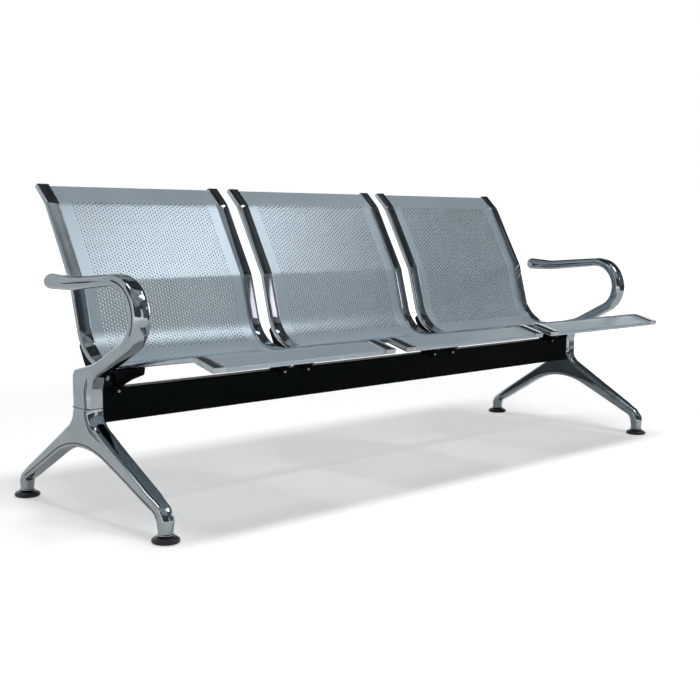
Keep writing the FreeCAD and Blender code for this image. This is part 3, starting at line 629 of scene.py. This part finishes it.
def rail_skin(name, middle):
    """A rail's skin: its section carried along the seat line between its caps."""
    bm = bmesh.new()
    rings = []
    for place, normal in path_samples(trimmed(SEAT_POINTS, CAP_THICKNESS), SOFT_RADII):
        ring = []
        for x, depth in rail_section():
            at = place + normal * depth
            ring.append((middle + x, at.x + SHIFT, at.y))
        rings.append(ring)
    ring_loft(bm, rings)
    return mesh_from(name, bm)


# how deep each ring of a cap lies and how much smaller it is than the rail
CAP_PROFILE = [(0.0, 0.0012), (0.0004, 0.0004), (0.0012, 0.0), (0.0031, 0.0)]


def caps_skin(name, middles):
    """The rounded plates at both ends of every rail."""
    bm = bmesh.new()
    ends = [(SEAT_POINTS[0], SEAT_POINTS[1], 1), (SEAT_POINTS[-1], SEAT_POINTS[-2], -1)]
    for end, towards, turn in ends:
        into = (towards - end).normalized()
        normal = left_of(into) * turn
        for middle in middles:
            rings = []
            for distance, shrink in CAP_PROFILE:
                ring = []
                for x, depth in rail_section():
                    wide = x * (1 - shrink / (RAIL_WIDTH / 2))
                    deep = -RAIL_DEPTH / 2 + (depth + RAIL_DEPTH / 2) * (1 - shrink / (RAIL_DEPTH / 2))
                    at = end + into * distance + normal * deep
                    ring.append((middle + wide, at.x + SHIFT, at.y))
                rings.append(ring)
            ring_loft(bm, rings)
    return mesh_from(name, bm)


def seat_middle(number):
    """A seat's middle along the beam."""
    return SEAT_PITCH * (number - 2)


def rail_middle(number, side):
    """A rail's middle along the beam."""
    return seat_middle(number) + side * (SEAT_WIDTH - RAIL_WIDTH) / 2


rails = []
for number, side_name, side in SEAT_SIDES:
    name = f"rail_skin_{number}_{side_name}"
    node = f"side_rail_{number}_{side_name}"
    mesh = rail_skin(name, rail_middle(number, side))
    rails.append(add_piece(name, mesh, "bench", RAIL_CHROME, [node]))
caps = caps_skin("cap_skins", [rail_middle(number, side) for number, _, side in SEAT_SIDES])
add_piece("cap_skins", caps, "bench", RAIL_CHROME, ["rail_caps"])


# Perforated seat sheets

HOLE_RADIUS = 0.00215
COLUMN_PITCH = 0.0080
HOLE_PITCH = 0.00924
HOLE_COLUMNS = 51
FIELD_HALF = HOLE_COLUMNS * COLUMN_PITCH / 2
SHEET_GAP = 0.0002
SHEET_HALF = (SEAT_WIDTH - 2 * RAIL_WIDTH) / 2 - SHEET_GAP
SHEET_THICKNESS = 0.0030
SHEET_SETBACK = 0.005
SHEET_END = 0.003
SIDE_FOLD = 0.006
FIELD_MARGIN = 0.015
FRONT_LIP, LIP_RADIUS, LIP_ZONE = 0.009, 0.003, 0.020
FINE_STEP, COARSE_STEP = 0.0015, 0.006
HOLE_WALL_AREA = 6e-6
# each field of holes: where it starts along the sheet, and its rows
FIELDS = [(0.110, 34), (0.4654, 42)]


def sheet_line():
    """The sheet's upper face in side view, from the bottom of its front lip to the top of the back."""
    points = trimmed(SEAT_POINTS, SHEET_END)
    directions = [(after - before).normalized() for before, after in zip(points, points[1:])]
    moved = [points[0] - left_of(directions[0]) * SHEET_SETBACK]
    for corner, into, out in zip(points[1:], directions, directions[1:]):
        first, second = corner - left_of(into) * SHEET_SETBACK, corner - left_of(out) * SHEET_SETBACK
        moved.append(crossing(first, into, second, out))
    moved.append(points[-1] - left_of(directions[-1]) * SHEET_SETBACK)
    radii = []
    for into, out, radius in zip(directions, directions[1:], SOFT_RADII):
        left_turn = into.x * out.y - into.y * out.x > 0
        radii.append(radius + SHEET_SETBACK if left_turn else radius - SHEET_SETBACK)
    lip = moved[0] - left_of(directions[0]) * FRONT_LIP
    return Measured(path_samples([lip] + moved, [LIP_RADIUS] + radii))


def plain_steps(start, end):
    """Divisions of a plain stretch of the sheet, finer at the front lip."""
    steps = [start]
    while end - steps[-1] > 0.0001:
        steps.append(min(steps[-1] + (COARSE_STEP if steps[-1] > LIP_ZONE else FINE_STEP), end))
    return steps


class SheetBuilder:
    """Builds one sheet from patches placed by their distances across and along it."""

    def __init__(self, line):
        self.line = line
        self.bm = bmesh.new()
        self.known = {}

    def corner(self, across, distance):
        """The vertex at a place on the sheet; beyond its sides the sheet is folded down."""
        key = (round(across, 6), round(distance, 6))
        if key not in self.known:
            place, normal = self.line.at(distance)
            at = place - normal * max(abs(across) - SHEET_HALF, 0.0)
            x = math.copysign(min(abs(across), SHEET_HALF), across)
            self.known[key] = self.bm.verts.new((x, at.x + SHIFT, at.y))
        return self.known[key]

    def patch(self, *places):
        """A face round the given (across, distance) places."""
        self.bm.faces.new([self.corner(*place) for place in places])

    def half_patch(self, left, right, low, high):
        """A plain half cell with the extra points that its neighbours share."""
        middle = (left + right) / 2
        self.patch((left, low), (middle, low), (right, low), (right, high), (middle, high), (left, high))

    def holed_patch(self, left, right, low, high):
        """Eight faces round one hole."""
        middle, centre = (left + right) / 2, (low + high) / 2
        rim = [(right, centre), (right, high), (middle, high), (left, high),
               (left, centre), (left, low), (middle, low), (right, low)]
        hole = []
        for step in range(8):
            turn = math.pi * step / 4
            hole.append((middle + HOLE_RADIUS * math.cos(turn), centre + HOLE_RADIUS * math.sin(turn)))
        for step in range(8):
            after = (step + 1) % 8
            self.patch(rim[step], rim[after], hole[after], hole[step])

    def column(self, left, right, start, rows, staggered):
        """One column of a field; a staggered one starts and ends with a plain half cell."""
        half = HOLE_PITCH / 2
        end = start + rows * HOLE_PITCH
        if not staggered:
            for row in range(rows):
                self.holed_patch(left, right, start + row * HOLE_PITCH, start + (row + 1) * HOLE_PITCH)
            return
        self.half_patch(left, right, start, start + half)
        for row in range(rows - 1):
            low = start + half + row * HOLE_PITCH
            self.holed_patch(left, right, low, low + HOLE_PITCH)
        self.half_patch(left, right, end - half, end)

    def band(self, borders, steps):
        """Plain patches between borders across and steps along."""
        for low, high in zip(steps, steps[1:]):
            for left, right in zip(borders, borders[1:]):
                self.patch((left, low), (right, low), (right, high), (left, high))


def sheet_mesh(name):
    """One seat sheet with its staggered holes, its folded sides and its thickness."""
    line = sheet_line()
    builder = SheetBuilder(line)
    borders = [-FIELD_HALF + COLUMN_PITCH / 2 * step for step in range(2 * HOLE_COLUMNS + 1)]
    margin = [-SHEET_HALF - SIDE_FOLD, -SHEET_HALF - FINE_STEP, -SHEET_HALF]
    margin += [-FIELD_HALF - FIELD_MARGIN, -FIELD_HALF]
    mirrored = [-place for place in reversed(margin)]
    at = 0.0
    for start, rows in FIELDS + [(line.length, 0)]:
        plain = plain_steps(at, start)
        for places in (margin, borders, mirrored):
            builder.band(places, plain)
        steps = [start + HOLE_PITCH / 2 * step for step in range(2 * rows + 1)]
        for places in (margin, mirrored):
            builder.band(places, steps)
        for column in range(HOLE_COLUMNS if rows else 0):
            left, right = borders[2 * column], borders[2 * column + 2]
            builder.column(left, right, start, rows, column % 2)
        at = steps[-1]
    bm = builder.bm
    bmesh.ops.recalc_face_normals(bm, faces=bm.faces[:])
    bm.faces.ensure_lookup_table()
    on_pan = min(bm.faces, key=lambda face: abs(face.calc_center_median().y))
    outward = on_pan.normal.z > 0
    face_side = set(bm.verts)
    bmesh.ops.solidify(bm, geom=bm.faces[:], thickness=SHEET_THICKNESS if outward else -SHEET_THICKNESS)
    # the walls of the holes get the near-black material: painted shade inside the holes
    for face in bm.faces:
        shared = sum(vertex in face_side for vertex in face.verts)
        face.material_index = int(0 < shared < len(face.verts) and face.calc_area() < HOLE_WALL_AREA)
    return mesh_as_is(name, bm)


middle_sheet = sheet_mesh("seat_sheet")
for number in SEATS:
    name = f"seat_sheet_{number}"
    mesh = middle_sheet.copy()
    mesh.transform(Matrix.Translation((seat_middle(number), 0, 0)))
    sheet = add_piece(name, mesh, "bench", SILVER, [f"seat_shell_{number}"], sharp=30)
    # second slot: the painted shade of the hole walls
    sheet.data.materials.append(SHADED_HOLE_WALL)


# Levelling feet and the bright rings over them

def foot_places():
    """Each foot's body ending, node ending and centre."""
    for side_name, side in SIDES.items():
        for end, direction in (("front", -1), ("rear", 1)):
            centre = (side * FEET_SPACING / 2, direction * FEET_TRACK / 2 + SHIFT)
            yield f"{side_name}_{end}", centre


def foot_base_mesh(name, centre):
    """The dark disc of a foot: a bulged rim under a shallow dome and a neck."""
    profile = [(0.0, 0.0038), (0.0063, 0.0038), (0.0063, 0.0146), (0.0112, 0.0146), (0.0120, 0.0140)]
    profile += [(0.0135, 0.0133), (0.0190, 0.0128), (0.0235, 0.0117), (0.0270, 0.0101), (0.0291, 0.0080)]
    profile += [(0.0300, 0.0058), (0.0297, 0.0036), (0.0286, 0.0016), (0.0268, 0.0004), (0.0250, 0.0)]
    profile += [(0.0, 0.0)]
    bm = bmesh.new()
    lathe(bm, profile, centre)
    return mesh_from(name, bm)


def boss_rings_mesh(name):
    """A bright bead round the bottom of each boss."""
    inside, reach, height, radius, steps = 0.0150, 0.0168, 0.0169, 0.0017, 8
    profile = [(inside, height - radius)]
    for step in range(steps + 1):
        turn = math.radians(-90 + 180 * step / steps)
        profile.append((reach + radius * math.cos(turn), height + radius * math.sin(turn)))
    profile += [(inside, height + radius), (inside, height - radius)]
    bm = bmesh.new()
    for _, centre in foot_places():
        lathe(bm, profile, centre)
    bmesh.ops.remove_doubles(bm, verts=bm.verts[:], dist=0.00001)
    return mesh_from(name, bm)


for ending, centre in foot_places():
    name = f"foot_skin_{ending}"
    mesh = foot_base_mesh(name, centre)
    add_piece(name, mesh, f"base_{ending}", RUBBER, [f"foot_base_{ending}"])
add_piece("boss_rings", boss_rings_mesh("boss_rings"), "bench", CHROME)


# Seat arms

ARM_WIDTH = 0.0234
ARM_TIP = -0.086
HEEL_TURN = 73
# how far each ring of an arm lies inside its outline and from its side
ARM_PROFILE = [(0.0025, 0.0), (0.0007, 0.0007), (0.0, 0.0025)]


def arm_outline():
    """A seat arm's side view: along the rail, round the heel and forward to the round tip over a hollow."""
    heel_thickness, heel_length, tip_drop = 0.020, 0.060, 0.017
    heel_bend, foot_bend, hollow_bend, tip_bend = 0.008, 0.040, 0.150, 0.009
    pan_normal = along(Vector((0, 0)), 90 - PAN_ANGLE, 1)
    top = []
    for place, normal in path_samples(SEAT_POINTS[:4], SEAT_RADII[:2]):
        if place.x > ARM_TIP and math.degrees(pan_normal.angle(normal)) < HEEL_TURN:
            top.append((place - normal * (RAIL_DEPTH + SEAT_GAP), -normal))
    (first, _), (last, outward) = top[0], top[-1]
    heel_back = last + outward * heel_thickness
    heel_foot = heel_back - left_of(outward) * heel_length
    floor = BEAM_TOP + SADDLE_THICKNESS + 2 * SEAT_GAP
    floor_back = Vector((BEAM_BACK + SADDLE_THICKNESS, floor))
    floor_front = Vector((BEAM_FRONT - SADDLE_THICKNESS, floor))
    hollow = point(-36, 302.5)
    under = path_samples(
        [last, heel_back, heel_foot, floor_back, floor_front, hollow, first - Vector((0, tip_drop)), first],
        [heel_bend, foot_bend, 0, 0, hollow_bend, tip_bend],
    )
    return top + inward(under[1:-1])


def arm_skin(name, middle):
    """A seat arm's skin: its side view carried across its width between rounded edges."""
    outline = arm_outline()
    levels = [(inset, depth - ARM_WIDTH / 2) for inset, depth in ARM_PROFILE]
    levels += [(inset, -across) for inset, across in reversed(levels)]
    rings = []
    for inset, across in levels:
        places = [place + normal * inset for place, normal in outline]
        rings.append([(middle + across, at.x + SHIFT, at.y) for at in places])
    bm = bmesh.new()
    ring_loft(bm, rings)
    return mesh_from(name, bm)


def bracket_middle(number, side):
    """A bracket's middle along the beam."""
    return seat_middle(number) + side * (SEAT_WIDTH / 2 - BRACKET_INSET)


for number, side_name, side in SEAT_SIDES:
    name = f"seat_arm_skin_{number}_{side_name}"
    mesh = arm_skin(name, bracket_middle(number, side))
    add_piece(name, mesh, "bench", BLACK, [f"seat_arm_{number}_{side_name}"])


# Small screws in the saddles' lips

# (radius, height) rings of a screw's low round head
SCREW_PROFILE = [(0.0034, 0.0), (0.0034, 0.0009), (0.0028, 0.0017), (0.0014, 0.0021)]
SCREW_DROP = 0.007


def screws_mesh(name):
    """The screws on the front and rear lips."""
    bm = bmesh.new()
    segments = 16
    lip = SADDLE_THICKNESS + SEAT_GAP
    for number, _, side in SEAT_SIDES:
        x = bracket_middle(number, side)
        for face, outward in ((BEAM_FRONT - lip, -1), (BEAM_BACK + lip, 1)):
            rings = []
            for radius, height in SCREW_PROFILE:
                y = face + outward * height + SHIFT
                turns = [2 * math.pi * step / segments for step in range(segments)]
                rings.append([
                    (x + radius * math.cos(turn), y, BEAM_TOP - SCREW_DROP + radius * math.sin(turn))
                    for turn in turns
                ])
            ring_loft(bm, rings)
    return mesh_from(name, bm)


add_piece("lip_screws", screws_mesh("lip_screws"), "bench", ZINC)


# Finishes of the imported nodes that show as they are

def finish_nodes(names, material):
    """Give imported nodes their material."""
    for name in names:
        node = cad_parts[name]
        node.data.materials.clear()
        node.data.materials.append(material)


finish_nodes(["beam"] + [f"beam_saddle_{number}_{side_name}" for number, side_name, _ in SEAT_SIDES], BLACK)
finish_nodes(["cross_bolts"], STEEL)
finish_nodes(["tongue_bolts", "armrest_bolts"], ZINC)
finish_nodes([f"foot_stud_{ending}" for ending, _ in foot_places()], ZINC)


# Floor, world and lights

WHITE_TO = ["Is Camera Ray", "Is Glossy Ray", "Is Transmission Ray"]
# the floor's own glow under the seats, and how far from their middle it turns fully white
FLOOR_GLOW, FLOOR_GLOW_IN_METAL = 0.445, 0.08
FADE_START = 1.3
FADE_END, FADE_END_IN_METAL = 3.5, 6.0
WORLD_GLOW = 0.25


def ray_share(nodes, links, names):
    """A value that is 1 for the named kinds of ray."""
    path = nodes.new("ShaderNodeLightPath")
    total = path.outputs[names[0]]
    for name in names[1:]:
        add = nodes.new("ShaderNodeMath")
        add.operation = "MAXIMUM"
        links.new(total, add.inputs[0])
        links.new(path.outputs[name], add.inputs[1])
        total = add.outputs[0]
    return total


def floor_material():
    """A pale floor that shows the seats' shadow and turns white around it, further out in reflections."""
    material = bpy.data.materials.new("floor")
    material.use_nodes = True
    nodes, links = material.node_tree.nodes, material.node_tree.links
    nodes.clear()
    output = nodes.new("ShaderNodeOutputMaterial")
    diffuse = nodes.new("ShaderNodeBsdfDiffuse")
    diffuse.inputs["Color"].default_value = (0.80, 0.80, 0.80, 1)
    coordinates = nodes.new("ShaderNodeTexCoord")
    reach = nodes.new("ShaderNodeVectorMath")
    reach.operation = "LENGTH"
    links.new(coordinates.outputs["Object"], reach.inputs[0])
    fade = nodes.new("ShaderNodeMapRange")
    fade.interpolation_type = "SMOOTHSTEP"
    fade.inputs["From Min"].default_value = FADE_START
    straight = ray_share(nodes, links, ["Is Camera Ray"])
    links.new(spread(nodes, links, straight, FLOOR_GLOW_IN_METAL, FLOOR_GLOW), fade.inputs["To Min"])
    links.new(spread(nodes, links, straight, FADE_END_IN_METAL, FADE_END), fade.inputs["From Max"])
    fade.inputs["To Max"].default_value = 1.0
    links.new(reach.outputs["Value"], fade.inputs["Value"])
    seen = nodes.new("ShaderNodeMath")
    seen.operation = "MULTIPLY"
    links.new(ray_share(nodes, links, WHITE_TO), seen.inputs[0])
    links.new(fade.outputs["Result"], seen.inputs[1])
    glow = nodes.new("ShaderNodeEmission")
    links.new(seen.outputs[0], glow.inputs["Strength"])
    both = nodes.new("ShaderNodeAddShader")
    links.new(diffuse.outputs[0], both.inputs[0])
    links.new(glow.outputs[0], both.inputs[1])
    links.new(both.outputs[0], output.inputs["Surface"])
    return material


def add_floor():
    """A wide plain floor."""
    bm = bmesh.new()
    bmesh.ops.create_grid(bm, x_segments=1, y_segments=1, size=40)
    mesh = mesh_as_is("floor", bm)
    mesh.materials.append(floor_material())
    floor = bpy.data.objects.new("floor", mesh)
    floor.location = (0, 0, -0.0005)
    bpy.context.scene.collection.objects.link(floor)
    return floor


def build_world():
    """White to the camera and in reflections, and a plain level of light from all sides."""
    world = bpy.data.worlds.new("studio")
    bpy.context.scene.world = world
    world.use_nodes = True
    nodes, links = world.node_tree.nodes, world.node_tree.links
    background = nodes["Background"]
    background.inputs["Color"].default_value = (1, 1, 1, 1)
    strength = spread(nodes, links, ray_share(nodes, links, WHITE_TO), WORLD_GLOW, 1.0)
    links.new(strength, background.inputs["Strength"])


def card_material(name, low, high, scale):
    """A studio card's cloudy grey."""
    material, nodes, links, shader = new_material(name)
    clouds = noise(nodes, links, scale, 3.0)
    shader.inputs["Base Color"].default_value = (0, 0, 0, 1)
    shader.inputs["Specular IOR Level"].default_value = 0.0
    links.new(tinted(nodes, links, clouds.outputs["Fac"], low, high), shader.inputs["Emission Color"])
    shader.inputs["Emission Strength"].default_value = 1.0
    return material


def add_card(name, corners, material):
    """A flat studio card that shows only in reflections."""
    bm = bmesh.new()
    bm.faces.new([bm.verts.new(corner) for corner in corners])
    mesh = mesh_as_is(name, bm)
    mesh.materials.append(material)
    card = bpy.data.objects.new(name, mesh)
    card.visible_camera = False
    card.visible_shadow = False
    card.visible_diffuse = False
    bpy.context.scene.collection.objects.link(card)


def add_ceiling(name, x_range, y_range, height, material):
    """A level card over the seats."""
    (left, right), (front, back) = x_range, y_range
    corners = [(left, front, height), (right, front, height), (right, back, height), (left, back, height)]
    add_card(name, corners, material)


def add_wall(name, start, end, z_range, material):
    """An upright card between two points of the floor plan."""
    low, high = z_range
    add_card(name, [(*start, low), (*end, low), (*end, high), (*start, high)], material)


def add_cards():
    """A ceiling in dark and pale fields, and walls round the seats."""
    dark = card_material("dark_ceiling", (0.010, 0.012, 0.014), (0.090, 0.098, 0.105), 1.3)
    pale = card_material("pale_ceiling", (0.16, 0.18, 0.19), (0.48, 0.52, 0.54), 1.1)
    strip = card_material("strip", (1.8, 1.8, 1.8), (2.6, 2.6, 2.6), 1.0)
    room = card_material("room", (0.020, 0.022, 0.024), (0.12, 0.125, 0.13), 0.9)
    side = card_material("side", (0.03, 0.04, 0.05), (0.20, 0.23, 0.25), 1.2)
    glow = card_material("glow", (3.0, 3.1, 3.1), (3.6, 3.6, 3.6), 1.0)
    window = card_material("window", (1.45, 1.30, 1.42), (1.70, 1.55, 1.66), 1.0)
    wall = card_material("wall", (0.52, 0.56, 0.58), (0.66, 0.70, 0.72), 0.7)
    add_ceiling("ceiling_front_left", (-7, 1.7), (-7, -0.7), 3, pale)
    add_ceiling("ceiling_front_right", (1.7, 6.5), (-7, -0.7), 3, dark)
    add_ceiling("ceiling_middle", (-7, 6.5), (-0.7, 1.0), 3, dark)
    add_ceiling("ceiling_left", (-7, 1.5), (1.0, 3.4), 3, pale)
    add_ceiling("ceiling_right", (1.5, 6.5), (1.0, 3.4), 3, dark)
    add_ceiling("ceiling_back_left", (-7, 0.5), (3.4, 6.5), 3, wall)
    add_ceiling("ceiling_back_right", (0.5, 6.5), (3.4, 6.5), 3, pale)
    add_ceiling("strip", (-2.0, -1.2), (-0.6, 0.2), 2.9, strip)
    add_wall("room_front", (-6, -5), (2, -5), (0.4, 3), room)
    add_wall("room_left", (-6, -5), (-6, -1), (0.4, 3), room)
    add_wall("room_right", (1.4, -3.6), (4.2, -1.2), (0.2, 2.9), side)
    add_wall("low_right", (1.6, -2.4), (3.6, -0.6), (0, 0.5), dark)
    add_wall("low_back", (-0.5, 0.42), (0.72, 0.42), (0, 0.22), dark)
    add_wall("glow_right", (4.5, -1.0), (4.5, 1.2), (0.55, 1.5), glow)
    add_wall("window", (2.15, -2.92), (2.70, -2.46), (1.45, 1.85), window)
    add_wall("wall", (-1.9, 0.2), (-1.1, 4.2), (0, 3), wall)


def add_light(name, place, target, width, height, power):
    """A soft rectangular lamp aimed at a point."""
    light = bpy.data.lights.new(name, "AREA")
    light.shape = "RECTANGLE"
    light.size = width
    light.size_y = height
    light.energy = power
    lamp = bpy.data.objects.new(name, light)
    lamp.location = place
    aim = Vector(target) - Vector(place)
    lamp.rotation_euler = aim.to_track_quat("-Z", "Y").to_euler()
    bpy.context.scene.collection.objects.link(lamp)
    return lamp


def keep_from(lamp, pieces):
    """Keep a lamp's light off some pieces."""
    spared = bpy.data.collections.new(f"kept_from_{lamp.name}")
    for piece in pieces:
        spared.objects.link(piece)
    lamp.light_linking.receiver_collection = spared
    for entry in spared.collection_objects:
        entry.light_linking.link_state = "EXCLUDE"


def add_camera():
    """The photograph's viewpoint."""
    yaw, pitch, roll = 0.777900, 0.116400, 0.0131938
    focal_pixels, picture_width, sensor = 1186.383, 700, 36.0
    ahead = Vector((math.cos(yaw) * math.cos(pitch), math.sin(yaw) * math.cos(pitch), -math.sin(pitch)))
    right = Vector((math.sin(yaw), -math.cos(yaw), 0))
    up = right.cross(ahead)
    across = right * math.cos(roll) + up * math.sin(roll)
    upright = up * math.cos(roll) - right * math.sin(roll)
    place = Vector((-2.3270289, -2.19564345 + SHIFT, 0.677964))
    columns = Matrix((across, upright, -ahead)).transposed()
    data = bpy.data.cameras.new("camera")
    data.sensor_width = sensor
    data.lens = focal_pixels * sensor / picture_width
    camera = bpy.data.objects.new("camera", data)
    camera.matrix_world = Matrix.Translation(place) @ columns.to_4x4()
    bpy.context.scene.collection.objects.link(camera)
    bpy.context.scene.camera = camera


floor = add_floor()
build_world()
add_cards()
overhead = add_light("overhead", (-0.2, -0.65, 4.5), (-0.2, -0.65, 0), 2.8, 0.8, 120)
overhead.visible_glossy = False
soft_right = add_light("soft_right", (1.45, -1.45, 2.85), (-0.4, 0, 0.5), 1.1, 1.05, 14.5)
soft_top = add_light("soft_top", (1.6, -0.7, 2.85), (-0.5, 0.2, 0.7), 0.5, 0.2, 1.5)
keep_from(soft_right, rails + [floor])
keep_from(soft_top, [floor])
add_camera()
bpy.context.scene.view_settings.view_transform = "Standard"
